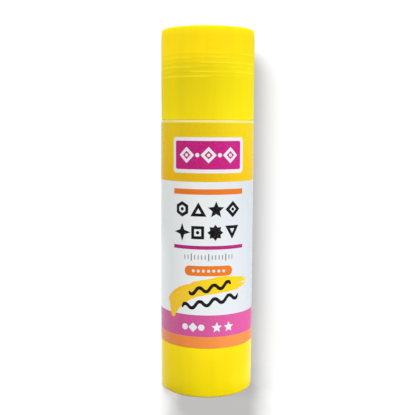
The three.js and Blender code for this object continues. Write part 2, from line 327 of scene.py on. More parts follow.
bpy.ops.object.select_all(action="DESELECT")
bpy.ops.mesh.primitive_plane_add(size=1, rotation=(math.pi / 2, 0, 0))
label_film = bpy.context.active_object
label_film.name = label_film.data.name = "label_film"
bpy.ops.object.transform_apply(rotation=True)
bpy.ops.object.mode_set(mode="EDIT")
bpy.ops.mesh.select_mode(type="VERT")
bpy.ops.mesh.select_all(action="SELECT")
bpy.ops.transform.resize(value=(0, 1, (FILM_TOP - FILM_FOOT) * MM))
bpy.ops.transform.translate(value=(-FILM_INSIDE * MM, 0, (FILM_FOOT + FILM_TOP) / 2 * MM))
bpy.ops.mesh.remove_doubles(threshold=SAME_POINT * MM)
bpy.ops.mesh.spin(
    steps=WRAP_STEPS, angle=WRAP_STEPS * WRAP_STEP,
    center=(0, 0, 0), axis=(0, 0, 1), use_auto_merge=False,
)
for step in range(LAP_STEPS):
    bpy.ops.mesh.extrude_region()
    climb = 1 + LAP_RISE / FILM_INSIDE if step == 0 else 1
    bpy.ops.transform.resize(value=(climb, climb, 1), center_override=(0, 0, 0))
    bpy.ops.transform.rotate(value=WRAP_STEP, orient_axis="Z", center_override=(0, 0, 0))
bpy.ops.mesh.select_all(action="SELECT")
bpy.ops.mesh.normals_make_consistent(inside=False)
bpy.ops.object.mode_set(mode="OBJECT")
print("film:", len(label_film.data.polygons), "faces before it gets its thickness")

# %% [markdown]
# A sheet without thickness has no inside, so its faces may look either way after they are made
# consistent. One face is checked against the axis, and the sheet is flipped if it looks inwards.
# Solidify then adds the thickness on the outside.

# %% Give the film its thickness
first_face = label_film.data.polygons[0]
if first_face.normal.dot(Vector((first_face.center.x, first_face.center.y, 0))) < 0:
    bpy.ops.object.mode_set(mode="EDIT")
    bpy.ops.mesh.select_all(action="SELECT")
    bpy.ops.mesh.flip_normals()
    bpy.ops.object.mode_set(mode="OBJECT")
pick_only(label_film)
thickness = label_film.modifiers.new("thickness", "SOLIDIFY")
thickness.thickness = FILM_THICKNESS * MM
thickness.offset = 1
bpy.ops.object.modifier_apply(modifier="thickness")
bpy.ops.object.shade_smooth_by_angle(angle=SMOOTH_ANGLE)
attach(label_film, "barrel")
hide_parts("label")
lap = math.degrees((WRAP_STEPS + LAP_STEPS) * WRAP_STEP - math.tau)
print("film:", len(label_film.data.polygons), "faces, lap", round(lap), "degrees wide")

# %% [markdown]
# ## The knob
# The knob is a cup that turns on the barrel's spigot. It stands on a ring round a shallow hollow,
# so that it doesn't rock on the small mark that the mould's gate leaves. Inside it holds a socket
# for the screw's foot, which is cut with a hexagonal prism.

# %% Turn the knob
KNOB_BORE = 13.85
KNOB_FLOOR = 2.4
HOLLOW_TOP = 1.0
SOCKET_WALL = 6.5
SOCKET_TOP = 8.0
SOCKET_FLOOR = 2.9
PRISM_RADIUS = 4.85
PRISM_TOP = SOCKET_TOP + 1.0
knob_outline = rounded([
    (0, HOLLOW_TOP - 0.2),
    (0.5, HOLLOW_TOP - 0.2, 0.05),
    (0.62, HOLLOW_TOP, 0.05),
    (12.3, HOLLOW_TOP, 0.15),
    (12.55, 0, 0.12),
    (BODY_RADIUS, 0, 0.55),
    (BODY_RADIUS, KNOB_TOP, 0.18),
    (KNOB_BORE, KNOB_TOP, 0.25),
    *snap_bead(KNOB_BORE, 11.2, -0.32, 0.75, 0.25, 0.3, way=-1),
    (KNOB_BORE, KNOB_FLOOR, 0.5),
    (SOCKET_WALL, KNOB_FLOOR, 0.3),
    (SOCKET_WALL, SOCKET_TOP, 0.1),
    (0, SOCKET_TOP),
])
knob_cup = turned("knob_cup", knob_outline)

bpy.ops.object.select_all(action="DESELECT")
bpy.ops.mesh.primitive_cylinder_add(
    vertices=6, radius=PRISM_RADIUS * MM, depth=(PRISM_TOP - SOCKET_FLOOR) * MM,
    location=(0, 0, (PRISM_TOP + SOCKET_FLOOR) / 2 * MM),
)
prism = bpy.context.active_object
pick_only(knob_cup)
socket_cut = knob_cup.modifiers.new("socket", "BOOLEAN")
socket_cut.operation = "DIFFERENCE"
socket_cut.solver = "EXACT"
socket_cut.object = prism
bpy.ops.object.modifier_apply(modifier="socket")
bpy.data.objects.remove(prism)
bpy.ops.object.shade_smooth_by_angle(angle=SMOOTH_ANGLE)
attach(knob_cup, "knob")
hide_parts("knob")
print("knob with its socket:", len(knob_cup.data.polygons), "faces")

# %% [markdown]
# ## The glue
# The glue is poured hot and sets as one block round the screw. Its foot stands in the carrier's
# cup. Its top is almost flat, a little higher at the middle, and its edge is soft. The ribs in the
# barrel leave four shallow grooves down its side, which are made as the ribs were.

# %% Turn the glue
GLUE_RADIUS = 12.43
GLUE_IN_CUP = 10.8
CUP_RIM = 28.3
SCREW_HOLE = 4.5
SCREW_HOLE_TOP = 93.7
GROOVE_TOP = RIB_TOP + 0.3
GROOVE_HALF_ANGLE = 5
glue_outline = rounded([
    (0, SCREW_HOLE_TOP),
    (SCREW_HOLE, SCREW_HOLE_TOP, 0.2),
    (SCREW_HOLE, GLUE_FOOT, 0.1),
    (GLUE_IN_CUP, GLUE_FOOT, 0.2),
    (GLUE_IN_CUP, CUP_RIM, 0.1),
    (GLUE_RADIUS, CUP_RIM, 0.3),
    (GLUE_RADIUS, GROOVE_TOP),
    (GLUE_RADIUS, GLUE_TOP - 0.2, 0.6),
    (10.9, GLUE_TOP - 0.2, 1.5),
    (10.1, GLUE_TOP - 0.28, 1.2),
    (8.6, GLUE_TOP - 0.1, 4.0),
    (2.4, GLUE_TOP, 3.0),
    (0, GLUE_TOP - 0.02),
])
glue_block = turned("glue_block", glue_outline)
grooves = move_strips_in(glue_block, GLUE_RADIUS, CUP_RIM, GROOVE_TOP, GROOVE_HALF_ANGLE)
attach(glue_block, "carrier")
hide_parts("glue")
print("faces pushed in for the grooves:", grooves)

# %% [markdown]
# ## Helpers for finishes
# Each finish is a tree of nodes, and small helpers keep the trees readable. The first ones plug
# values or other nodes into the sockets of a node, and do the sums. A socket knows the tree that it
# is in, so each new node is put in the tree of the value that it works on.

# %% Helpers for sums
def plug(value, socket):
    if isinstance(value, bpy.types.NodeSocket):
        socket.id_data.links.new(value, socket)
    else:
        socket.default_value = value


def plug_in(node, values):
    for name, value in values.items():
        plug(value, node.inputs[name])


def add_node(tree, kind, *values):
    node = tree.nodes.new("ShaderNode" + kind)
    for value, socket in zip(values, node.inputs):
        plug(value, socket)
    return node


def maths(operation, *values, clamp=False):
    given = next(value for value in values if isinstance(value, bpy.types.NodeSocket))
    node = add_node(given.id_data, "Math", *values)
    node.operation = operation
    node.use_clamp = clamp
    return node.outputs[0]


plus = partial(maths, "ADD")
minus = partial(maths, "SUBTRACT")
times = partial(maths, "MULTIPLY")
larger = partial(maths, "MAXIMUM")
size_of = partial(maths, "ABSOLUTE")


def reach(across, up):
    return maths("SQRT", plus(times(across, across), times(up, up)))


def spread(value, from_low, from_high, to_low, to_high, kind="LINEAR"):
    node = add_node(value.id_data, "MapRange", value, from_low, from_high, to_low, to_high)
    node.interpolation_type = kind
    return node.outputs[0]


def in_mm(where, *axes):
    place = add_node(where.id_data, "SeparateXYZ", where)
    return [maths("DIVIDE", place.outputs[axis], MM) for axis in axes]


print("lengths in the trees are in units of", MM, "m")

# %% [markdown]
# The others lay a colour over another where a mask is 1, draw a grain, and set up a finish. Colours
# are written as the numbers from 0 to 255 that a screen shows, and are turned into the linear
# values that the shader works in.

# %% Helpers for colours and grain
def screen(red, green, blue):
    def linear(value):
        value /= 255
        return value / 12.92 if value <= 0.04045 else ((value + 0.055) / 1.055) ** 2.4
    return linear(red), linear(green), linear(blue), 1.0


def lay_over(below, above, mask):
    node = add_node(mask.id_data, "Mix")
    node.data_type = "RGBA"
    plug_in(node, {"Factor": mask, "A": below, "B": above})
    return node.outputs["Result"]


def grain(where, size, stretch=(1, 1, 1), detail=3.0):
    mapping = add_node(where.id_data, "Mapping", where)
    plug_in(mapping, {"Scale": stretch})
    noise = add_node(where.id_data, "TexNoise", mapping.outputs["Vector"])
    plug_in(noise, {"Scale": 1 / (size * MM), "Detail": detail})
    return noise.outputs["Fac"]


def relief(shader, height, depth, strength):
    bump = add_node(height.id_data, "Bump")
    plug_in(bump, {"Strength": strength, "Distance": depth * MM, "Height": height})
    plug(bump.outputs["Normal"], shader.inputs["Normal"])


def new_finish(name):
    finish = bpy.data.materials.new(name)
    finish.use_nodes = True
    tree = finish.node_tree
    where = add_node(tree, "TexCoord").outputs["Object"]
    return finish, tree.nodes["Principled BSDF"], where


def wear(piece, finish):
    piece.data.materials.clear()
    piece.data.materials.append(finish)


print("a mid grey of 128 is", round(screen(128, 128, 128)[0], 3), "in linear light")

# %% [markdown]
# ## Yellow moulded polypropylene
# The cap and the knob are the same plastic. The cap is satin: its mould was spark-eroded to a very
# fine grain. The knob's mould was polished, so the knob is glossier. Faint flow streaks run up from
# the gate on both. The crown of the cap is a warm yellow, and below the rings the wall is paler and a
# little greener, so the colour is given as two tones that meet over the rings; the crown's tone is
# also brighter, partly as painted light from above. The knob's lower tone is painted lighter, as
# painted light on its foot. Each tone is given as a left, a middle and a right colour, painted
# light and shade across the stick. The edge of the top gets a painted highlight, and the crests of
# the rings carry thin painted highlights, here stronger and there weaker. A deep yellow needs a low
# specular level, because white gloss over the whole of it would wash it out.

# %% Painted side shading and painted crest highlights
# Painted light and shade across the stick: the left tone comes in at the far left, the right tone
# towards the right.
def painted_side_shading(x, left, middle, right):
    tone = lay_over(screen(*middle), screen(*left), spread(x, -8.0, -11.0, 0, 1))
    return lay_over(tone, screen(*right), spread(x, -1.0, 13.0, 0, 1))


# Painted highlights on the crests of the grip rings, uneven from ring to ring and stronger on every
# second ring to one side.
def painted_crest_highlights(where, x, height):
    climbed = minus(height, LOWEST_RING)
    past_ring = maths("WRAP", climbed, RING_PITCH / 2, -RING_PITCH / 2)
    crest = spread(size_of(past_ring), 0.08, 0.26, 1, 0, "SMOOTHSTEP")
    from_middle = size_of(minus(climbed, (RING_COUNT - 1) / 2 * RING_PITCH))
    on_rings = maths("LESS_THAN", from_middle, RING_COUNT / 2 * RING_PITCH)
    in_pair = maths("WRAP", climbed, 1.5 * RING_PITCH, -0.5 * RING_PITCH)
    every_second = maths("GREATER_THAN", in_pair, RING_PITCH / 2)
    leaning = times(times(x, 0.03), minus(every_second, 0.5))
    patches = plus(grain(where, 8.0, stretch=(1, 1, 5), detail=1), leaning)
    return times(times(crest, on_rings), spread(patches, 0.42, 0.6, 0, 0.5))


# The number of rings with painted crest highlights.
print("rubbed crests:", RING_COUNT)

# %% The yellow finishes
PLASTIC_IOR = 1.49
# A pale yellow for the painted highlight along the top edge.
TOP_EDGE_HIGHLIGHT = screen(250, 235, 14)
STREAK = screen(214, 190, 8)
CLOUD = screen(255, 238, 30)
# A pale yellow for the painted highlights on the ring crests.
CREST_HIGHLIGHT = screen(255, 237, 60)
# Each tone table gives the left, middle and right colours of the painted side shading.
CAP_WALL = (236, 213, 10), (227, 204, 20), (238, 221, 14)
CAP_CROWN = (253, 221, 12), (248, 216, 20), (241, 215, 14)
KNOB_LOW = (248, 219, 6), (248, 223, 14), (241, 217, 6)
KNOB_HIGH = (247, 217, 6), (243, 216, 14), (229, 204, 6)


def yellow_plastic(name, lower, upper, meet_from, meet_to, roughness, specular):
    finish, shader, where = new_finish(name)
    x, height = in_mm(where, "X", "Z")
    # The upper tone is partly painted light from above.
    crown = spread(height, meet_from, meet_to, 0, 1, "SMOOTHSTEP")
    colour = lay_over(painted_side_shading(x, *lower), painted_side_shading(x, *upper), crown)
    # A painted highlight along the edge of the top.
    painted_top_highlight = spread(height, STICK_HEIGHT - 2.6, STICK_HEIGHT - 0.6, 0, 0.4)
    colour = lay_over(colour, TOP_EDGE_HIGHLIGHT, painted_top_highlight)
    streaks = grain(where, 2.0, stretch=(1, 1, 0.06))
    colour = lay_over(colour, STREAK, spread(streaks, 0.45, 0.75, 0, 0.15))
    clouds = grain(where, 9.0, detail=2)
    colour = lay_over(colour, CLOUD, spread(clouds, 0.5, 0.85, 0, 0.12))
    skin = grain(where, 0.22, detail=2)
    rubbed = grain(where, 1.6, stretch=(1, 1, 0.35), detail=4)
    dull = spread(rubbed, 0.3, 0.75, roughness - 0.03, roughness + 0.05)
    plug_in(shader, {
        # The ring crests get painted highlights over the colour.
        "Base Color": lay_over(colour, CREST_HIGHLIGHT, painted_crest_highlights(where, x, height)),
        "Roughness": plus(dull, times(skin, 0.04)),
        "IOR": PLASTIC_IOR,
        "Specular IOR Level": specular,
    })
    relief(shader, plus(skin, times(rubbed, 0.4)), 0.006, 0.4)
    return finish


wear(cap_shell, yellow_plastic("cap plastic", CAP_WALL, CAP_CROWN, 102.3, 108.2, 0.45, 0.035))
wear(knob_cup, yellow_plastic("knob plastic", KNOB_LOW, KNOB_HIGH, 3.0, 12.0, 0.2, 0.1))
print("yellow finishes:", cap_shell.active_material.name, "and", knob_cup.active_material.name)

# %% [markdown]
# ## White and natural polypropylene
# The barrel is pigmented white and a little glossier than the cap, because the neck has to slide in
# it. The screw and the carrier are left in the plastic's own milky colour. They are nodes of the
# imported model, and only get a finish here. One function makes both plastics, with the tone, the
# grain and the marks that the mould's moving core leaves along the draw. At the barrel's shoulder a
# cream tint is painted in, as painted yellow bounce light from the cap and the film, so the thin
# line that shows there is cream.

# %% The white finishes
def white_plastic(name, tone, shade, roughness, draw_marks, painted_bounce_light=None):
    finish, shader, where = new_finish(name)
    cloud = grain(where, 6.0, stretch=(1, 1, 0.3))
    colour = lay_over(screen(*tone), screen(*shade), spread(cloud, 0.4, 0.8, 0, 0.6))
    # Painted yellow bounce light near the shoulder.
    if painted_bounce_light:
        [height] = in_mm(where, "Z")
        glow = spread(size_of(minus(height, SHOULDER)), 0.9, 2.4, 1, 0, "SMOOTHSTEP")
        colour = lay_over(colour, screen(*painted_bounce_light), glow)
    drawn = grain(where, 0.5, stretch=(1, 1, 0.04))
    skin = grain(where, 0.25, detail=2)
    plug_in(shader, {
        "Base Color": colour,
        "Roughness": spread(drawn, 0.3, 0.7, roughness - 0.05, roughness + 0.07),
        "IOR": PLASTIC_IOR,
        "Specular IOR Level": 0.25,
        "Subsurface Weight": 0.08,
        "Subsurface Scale": 0.0012,
    })
    relief(shader, plus(times(drawn, draw_marks), skin), 0.01, 0.5)
    return finish


# The cream of the painted yellow bounce light at the barrel's shoulder.
BOUNCE_CREAM = (236, 222, 130)
white = white_plastic("barrel plastic", (230, 228, 219), (224, 222, 213), 0.33, 1.0, painted_bounce_light=BOUNCE_CREAM)
natural = white_plastic("natural plastic", (226, 227, 219), (214, 216, 208), 0.42, 0.6)
wear(barrel_tube, white)
for node in ("spindle", "carrier"):
    wear(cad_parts[node], natural)
print("finished:", "barrel_tube, spindle, carrier")

# %% [markdown]
# ## Solid glue
# The glue is a firm, off-white soap that light enters a little way. Its skin shows soft dents from
# handling, drawn lines where it slid past the bore, and small pits where bubbles broke in casting.

# %% The glue's finish
BUBBLE_SPACING = 1.9
glue_finish, shader, where = new_finish("solid glue")
cloud = spread(grain(where, 4.0, detail=4), 0.42, 0.75, 0, 1)
milky = lay_over(screen(230, 227, 215), screen(221, 217, 203), cloud)
bubbles = add_node(glue_finish.node_tree, "TexVoronoi", where)
plug_in(bubbles, {"Scale": 1 / (BUBBLE_SPACING * MM)})
pits = spread(bubbles.outputs["Distance"], 0.06, 0.13, 1, 0, "SMOOTHSTEP")
dents = grain(where, 2.6)
drawn = grain(where, 0.7, stretch=(1, 1, 0.05))
plug_in(shader, {
    # The pits are painted darker, as painted shade in them.
    "Base Color": lay_over(milky, screen(199, 195, 179), times(pits, 0.6)),
    "Roughness": spread(plus(dents, drawn), 0.7, 1.35, 0.36, 0.56),
    "Subsurface Weight": 0.3,
    "Subsurface Scale": 0.002,
    "Subsurface Radius": (1.0, 0.85, 0.6),
})
relief(shader, plus(times(dents, 3.0), minus(drawn, times(pits, 2.0))), 0.04, 0.6)
wear(glue_block, glue_finish)
print("glue finish has", len(glue_finish.node_tree.nodes), "nodes")

# %% [markdown]
# ## The print on the film
# A printer lays the design out flat: so many millimetres round the stick, so many up. The same flat
# sheet is made here from the object's own coordinates. The angle round the axis times the radius is
# the distance from the middle of the front, and the height is simply Z. The panel is printed twice,
# front and back, as is common on such a wrap, so the distance starts again at each side.

# %% Lay the film out flat
film_finish, shader, where = new_finish("printed film")
x, y, up = in_mm(where, "X", "Y", "Z")
round_way = times(maths("ARCTAN2", x, times(y, -1.0)), BODY_RADIUS)
HALF_PANEL = BODY_RADIUS * math.pi / 2
across = maths("WRAP", round_way, HALF_PANEL, -HALF_PANEL)
print("one panel is", round(2 * HALF_PANEL, 2), "mm wide")

# %% [markdown]
# Each printed shape is a mask, 1 inside and 0 outside, made from the signed distance to its edge.
# The distance is negative inside, and the mask changes over a twentieth of a millimetre, about as
# sharp as real ink on film. Bands and plates need only a few sums.

# %% Bands and plates
INK_EDGE = 0.05


def inked(distance):
    return minus(0.5, maths("DIVIDE", distance, INK_EDGE), clamp=True)


def band(up, foot, top):
    away = size_of(minus(up, (foot + top) / 2))
    return inked(minus(away, (top - foot) / 2))


def plate(across, up, left, right, foot, top, corner):
    aside = size_of(minus(across, (left + right) / 2))
    above = size_of(minus(up, (foot + top) / 2))
    over_x = larger(minus(aside, (right - left) / 2 - corner), 0.0)
    over_y = larger(minus(above, (top - foot) / 2 - corner), 0.0)
    return inked(minus(reach(over_x, over_y), corner))


print("ink edge:", INK_EDGE, "mm")

# %% [markdown]
# The figures in the rows are polygons and stars. One node group draws them all: the angle about the
# figure's centre is folded to half of one point of the star, where the edge is a straight line from
# the tip to the waist between two tips. With its waist on that polygon's own side, the star becomes
# a triangle, a square or a hexagon, and with many sides a disc. A figure can be solid or only a
# line of some width along its edge, which is where the distance to the edge is small.

# %% A node group for printed figures
GIVEN = "Across", "Up", "Middle across", "Middle up", "Tip", "Waist", "Sides", "Turn", "Line"
figure_group = bpy.data.node_groups.new("printed figure", "ShaderNodeTree")
for name in GIVEN:
    figure_group.interface.new_socket(name=name, in_out="INPUT", socket_type="NodeSocketFloat")
figure_group.interface.new_socket(name="Mask", in_out="OUTPUT", socket_type="NodeSocketFloat")


def fill_figure_group(group):
    given = group.nodes.new("NodeGroupInput").outputs
    result = group.nodes.new("NodeGroupOutput")
    dx = minus(given["Across"], given["Middle across"])
    dy = minus(given["Up"], given["Middle up"])
    from_centre = reach(dx, dy)
    point = maths("DIVIDE", math.tau, given["Sides"])
    angle = plus(maths("ARCTAN2", dx, dy), given["Turn"])
    nearest = times(maths("ROUND", maths("DIVIDE", angle, point)), point)
    fold = size_of(minus(angle, nearest))
    half = times(point, 0.5)
    waist_x = times(given["Waist"], maths("COSINE", half))
    waist_y = times(given["Waist"], maths("SINE", half))
    edge_x = minus(given["Tip"], waist_x)
    edge = reach(edge_x, waist_y)
    to_tip = minus(times(from_centre, maths("COSINE", fold)), given["Tip"])
    along = times(to_tip, waist_y)
    beside = times(times(from_centre, maths("SINE", fold)), edge_x)
    distance = maths("DIVIDE", plus(along, beside), edge)
    too_deep = minus(times(distance, -1.0), given["Line"])
    plug(inked(larger(distance, too_deep)), result.inputs["Mask"])


fill_figure_group(figure_group)
print("figure group has", len(figure_group.nodes), "nodes")

# %% Figures and rows of figures
SOLID = 9.0
FIGURES = {  # the number of sides, the waist as a share of the tip, and the turn in degrees
    "disc": (28, math.cos(math.pi / 28), 0),
    "triangle": (3, 0.5, 0),
    "wedge": (3, 0.5, 180),
    "square": (4, math.cos(math.pi / 4), 45),
    "diamond": (4, math.cos(math.pi / 4), 0),
    "hexagon": (6, math.cos(math.pi / 6), 0),
    "star": (5, 0.46, 0),
    "spark": (4, 0.36, 0),
    "sun": (8, 0.7, 0),
}


def figure(across, up, middle, height, kind, size, line=SOLID):
    sides, waist, turn = FIGURES[kind]
    node = add_node(across.id_data, "Group")
    node.node_tree = figure_group
    values = (across, up, middle, height, size, size * waist, sides, math.radians(turn), line)
    for socket, value in zip(node.inputs, values):
        plug(value, socket)
    return node.outputs["Mask"]


def row_of_figures(across, up, figures):
    mask = figure(across, up, *figures[0])
    for given_figure in figures[1:]:
        mask = larger(mask, figure(across, up, *given_figure))
    return mask


print("kinds of figure:", ", ".join(FIGURES))

# %% [markdown]
# Now the design is laid down as a printer does it, one ink over another. The film is white. Its top
# is yellow down to the middle of the panel, and two bands, magenta and orange, close it at the
# foot. The wide fields of ink carry painted light and shade from left to right: to the right the
# white is painted cooler and darker and the colours brighter, and low at the left rim a painted
# sheen makes them paler. The yellow was rolled on heavier towards its lower edge, where it is more
# orange.
# A bordered magenta plate with a row of diamonds and dots heads the panel. Bars in orange and
# magenta frame two rows of black figures, and plain ticks, dots and strokes fill the rest.

# %% The wide fields of ink
YELLOW_FOOT = 68.5
MAGENTA_TOP = 26.7
ORANGE_TOP = 19.73
# A painted sheen low at the left rim, and painted cool shade to the right.
painted_left_light = times(spread(x, -11.3, -13.9, 0, 1), spread(up, 55.0, 45.0, 0, 1))
painted_cool_shade = spread(x, -4.0, 11.0, 0, 1)
white_field = lay_over(screen(227, 231, 231), screen(210, 216, 222), painted_cool_shade)
white_field = lay_over(white_field, screen(240, 244, 245), painted_left_light)
# The fields of ink carry painted side shading from left to right.
yellow_above = painted_side_shading(x, (232, 198, 8), (224, 191, 8), (236, 208, 8))
yellow_below = painted_side_shading(x, (232, 181, 8), (224, 175, 8), (237, 193, 8))
yellow_field = lay_over(yellow_above, yellow_below, spread(up, 84.0, YELLOW_FOOT, 0, 1))
magenta_field = painted_side_shading(x, (200, 101, 148), (199, 84, 147), (217, 90, 159))
magenta_field = lay_over(magenta_field, screen(207, 120, 163), painted_left_light)
orange_field = painted_side_shading(x, (227, 139, 84), (233, 137, 66), (240, 145, 76))
orange_field = lay_over(orange_field, screen(235, 155, 110), painted_left_light)
design = lay_over(white_field, yellow_field, band(up, YELLOW_FOOT, 95))
design = lay_over(design, magenta_field, band(up, ORANGE_TOP, MAGENTA_TOP))
design = lay_over(design, orange_field, band(up, 5, ORANGE_TOP))
print("wide fields of ink: white, yellow, magenta, orange")

# %% Plates and bars
WHITE = screen(224, 226, 230)
ORANGE = screen(222, 117, 36)
MAGENTA = screen(170, 34, 116)
BLACK = screen(12, 12, 16)
GREY = screen(66, 70, 76)
# The plate's magenta carries the same painted side shading.
plate_magenta = painted_side_shading(x, (183, 28, 111), (185, 28, 116), (199, 28, 132))
PLATES = [  # ink, left, right, foot, top, rounding
    (WHITE, -11.6, 12.35, 71.2, 82.2, 1.1),
    (plate_magenta, -10.6, 11.2, 72.35, 81.1, 0.6),
    (ORANGE, -11.35, 12.33, 64.59, 66.31, 0.06),
    (MAGENTA, -11.33, 12.64, 47.51, 48.67, 0.06),
    (ORANGE, -7.15, 8.39, 39.15, 42.37, 1.6),
]
for ink, *edges in PLATES:
    design = lay_over(design, ink, plate(across, up, *edges))
print("plates and bars:", len(PLATES))

# %% Rows of figures
PLATE_CENTRE = 0.4
PLATE_ROW = 76.75
badge_row = [(PLATE_CENTRE + aside, PLATE_ROW, "disc", 0.65) for aside in (-3.5, 3.5)]
for aside in (-7.0, 0.0, 7.0):
    badge_row.append((PLATE_CENTRE + aside, PLATE_ROW, "diamond", 2.5, 0.85))
    badge_row.append((PLATE_CENTRE + aside, PLATE_ROW, "disc", 0.5))
black_rows = [  # across, up, kind, size, width of the line
    (-8.1, 60.0, "hexagon", 2.45, 1.0), (-8.1, 60.0, "disc", 0.55),
    (-2.7, 59.3, "triangle", 2.95, 0.95), (2.85, 59.85, "star", 2.7),
    (8.45, 60.0, "diamond", 2.6, 1.0), (8.45, 60.0, "disc", 0.5),
    (-8.1, 52.8, "spark", 2.9), (-2.9, 52.8, "square", 2.9, 0.95), (-2.9, 52.8, "disc", 0.55),
    (2.65, 52.8, "sun", 2.55), (8.25, 53.5, "wedge", 2.85, 0.95),
]
foot_row = [
    (-7.0, 22.75, "disc", 1.0), (-4.3, 22.75, "diamond", 1.5), (-1.6, 22.75, "disc", 1.0),
    (3.3, 22.7, "star", 1.75), (7.3, 22.7, "star", 1.75),
]
for ink, row in ((WHITE, badge_row), (BLACK, black_rows), (WHITE, foot_row)):
    design = lay_over(design, ink, row_of_figures(across, up, row))
print("figures:", len(badge_row + black_rows + foot_row))

# %% [markdown]
# The small grey ticks and the dots in the orange pill repeat, so they aren't drawn one by one. The
# distance across is wrapped to one spacing, a single tick or dot is drawn in it, and a plate of the
# row's length cuts the row off at its ends. Every fifth tick is taller, as on a ruler.

# %% Ticks and dots
ROW_CENTRE = 0.6
ROW_END = 0.02
TICKS_FROM, TICKS_TO = -7.3, 8.5
DOTS_FROM, DOTS_TO = -5.2, 6.4


def repeated(across, spacing):
    return maths("WRAP", minus(across, ROW_CENTRE), spacing / 2, -spacing / 2)


def ticks(across, up, spacing, half_width, foot, top):
    aside = size_of(repeated(across, spacing))
    row = plate(across, up, TICKS_FROM, TICKS_TO, foot, top, ROW_END)
    return times(inked(minus(aside, half_width)), row)


def dots(across, up, spacing, height, size):
    from_centre = reach(repeated(across, spacing), minus(up, height))
    row = plate(across, up, DOTS_FROM, DOTS_TO, height - 2, height + 2, ROW_END)
    return times(inked(minus(from_centre, size)), row)


small_ticks = ticks(across, up, 1.1, 0.13, 44.35, 45.75)
tall_ticks = ticks(across, up, 5.5, 0.16, 43.94, 46.18)
design = lay_over(design, GREY, larger(small_ticks, tall_ticks))
design = lay_over(design, WHITE, dots(across, up, 1.62, 40.76, 0.47))
print("tick rows: 2, dot rows: 1")

# %% [markdown]
# The yellow swipe is a stroke of a wide, dry brush. Its upper and lower edges are two curves, noise
# that is drawn out along the stroke frays its right end, and a few dry streaks let the white
# through there. At its left the paint has pooled, darker, along the upper edge.

# %% The brush swipe
SWIPE_LEFT, SWIPE_RIGHT = -15.0, 17.0
SWIPE_FOOT, SWIPE_TOP = 20.0, 42.0
UPPER_EDGE = [
    (-15.0, 29.0), (-13.6, 31.4), (-11.9, 33.4), (-9.4, 35.0), (-5.9, 36.6),
    (0.2, 38.3), (6.4, 38.9), (12.0, 38.4), (17.0, 37.1),
]
LOWER_EDGE = [
    (-15.0, 33.0), (-13.7, 30.0), (-12.9, 27.0), (-11.7, 25.3), (-10.3, 26.9), (-7.0, 30.3),
    (-3.4, 32.3), (2.6, 33.5), (9.0, 34.2), (13.0, 35.2), (17.0, 36.9),
]
SWIPE = screen(236, 202, 18)
SWIPE_DARK = screen(241, 193, 52)
SWIPE_POOLED = screen(238, 172, 44)


def along_curve(across, points):
    node = add_node(across.id_data, "FloatCurve")
    plug(spread(across, SWIPE_LEFT, SWIPE_RIGHT, 0, 1), node.inputs["Value"])
    line = node.mapping.curves[0]
    while len(line.points) < len(points):
        line.points.new(0.5, 0.5)
    for point, (aside, height) in zip(line.points, points):
        share_across = (aside - SWIPE_LEFT) / (SWIPE_RIGHT - SWIPE_LEFT)
        point.location = share_across, (height - SWIPE_FOOT) / (SWIPE_TOP - SWIPE_FOOT)
    node.mapping.update()
    return spread(node.outputs[0], 0, 1, SWIPE_FOOT, SWIPE_TOP)


upper_edge = along_curve(across, UPPER_EDGE)
lower_edge = along_curve(across, LOWER_EDGE)
bristles = grain(where, 0.55, stretch=(0.1, 0.1, 1.0), detail=2)
fine_bristles = grain(where, 0.2, stretch=(0.06, 0.06, 1.0), detail=2)
frayed = spread(plus(bristles, times(fine_bristles, 0.5)), 0.5, 0.95, 10.6, 17.4)
rough_edge = times(minus(bristles, 0.5), 0.9)
outside = larger(minus(up, upper_edge), minus(lower_edge, up))
outside = larger(plus(outside, rough_edge), times(minus(across, frayed), 0.4))
dryness = spread(across, 2.0, 14.0, 0.0, 0.2)
low_side = spread(minus(up, lower_edge), 0.0, 2.6, 0.08, 0.0)
dry_streak = maths("GREATER_THAN", plus(fine_bristles, plus(dryness, low_side)), 0.84)
covered = minus(1.0, times(dry_streak, 0.8))
ink = lay_over(SWIPE_DARK, SWIPE, spread(across, -13.0, 3.0, 0, 1))
ink = lay_over(ink, SWIPE_DARK, spread(fine_bristles, 0.55, 0.8, 0, 0.4))
pooled = times(spread(minus(upper_edge, up), 0.0, 1.3, 0.8, 0), spread(across, -13.0, 2.0, 1, 0))
ink = lay_over(ink, SWIPE_POOLED, pooled)
design = lay_over(design, ink, times(inked(outside), covered))
print("points on the swipe's edges:", len(UPPER_EDGE), "and", len(LOWER_EDGE))

# %% [markdown]
# Two dark wavy lines, like lines of squeezed glue, run over the swipe, with round ends. A wave that
# climbs steeply would look thin there, so the distance to it is divided by its steepness.

# %% Wavy lines
WAVE_HALF_WIDTH = 0.54
WAVE_CLIMB = 0.19


def wavy_line(across, up, left, right, height, wave, swing):
    along = minus(across, (left + right) / 2)
    phase = times(along, math.tau / wave)
    line = plus(times(along, WAVE_CLIMB), times(maths("SINE", phase), swing))
    slope = plus(times(maths("COSINE", phase), swing * math.tau / wave), WAVE_CLIMB)
    steepness = maths("SQRT", plus(times(slope, slope), 1.0))
    away = size_of(minus(minus(up, height), line))
    past_end = minus(size_of(along), (right - left) / 2)
    into_end = larger(plus(past_end, WAVE_HALF_WIDTH), 0.0)
    left_over = minus(WAVE_HALF_WIDTH ** 2, times(into_end, into_end))
    round_width = maths("SQRT", larger(left_over, 0.0))
    beside = minus(maths("DIVIDE", away, steepness), round_width)
    return inked(larger(beside, past_end))


upper_wave = wavy_line(across, up, -5.8, 8.0, 35.3, 4.6, 0.78)
lower_wave = wavy_line(across, up, -8.2, 10.9, 30.9, 4.78, 0.82)
design = lay_over(design, BLACK, larger(upper_wave, lower_wave))
print("the print has", len(film_finish.node_tree.nodes), "nodes")

# %% [markdown]
# Ink isn't perfectly even, so a faint mottle lightens it here and there. The film itself has a
# light gloss, which handling has dulled in places, and a fine skin where the ink stands up from it.

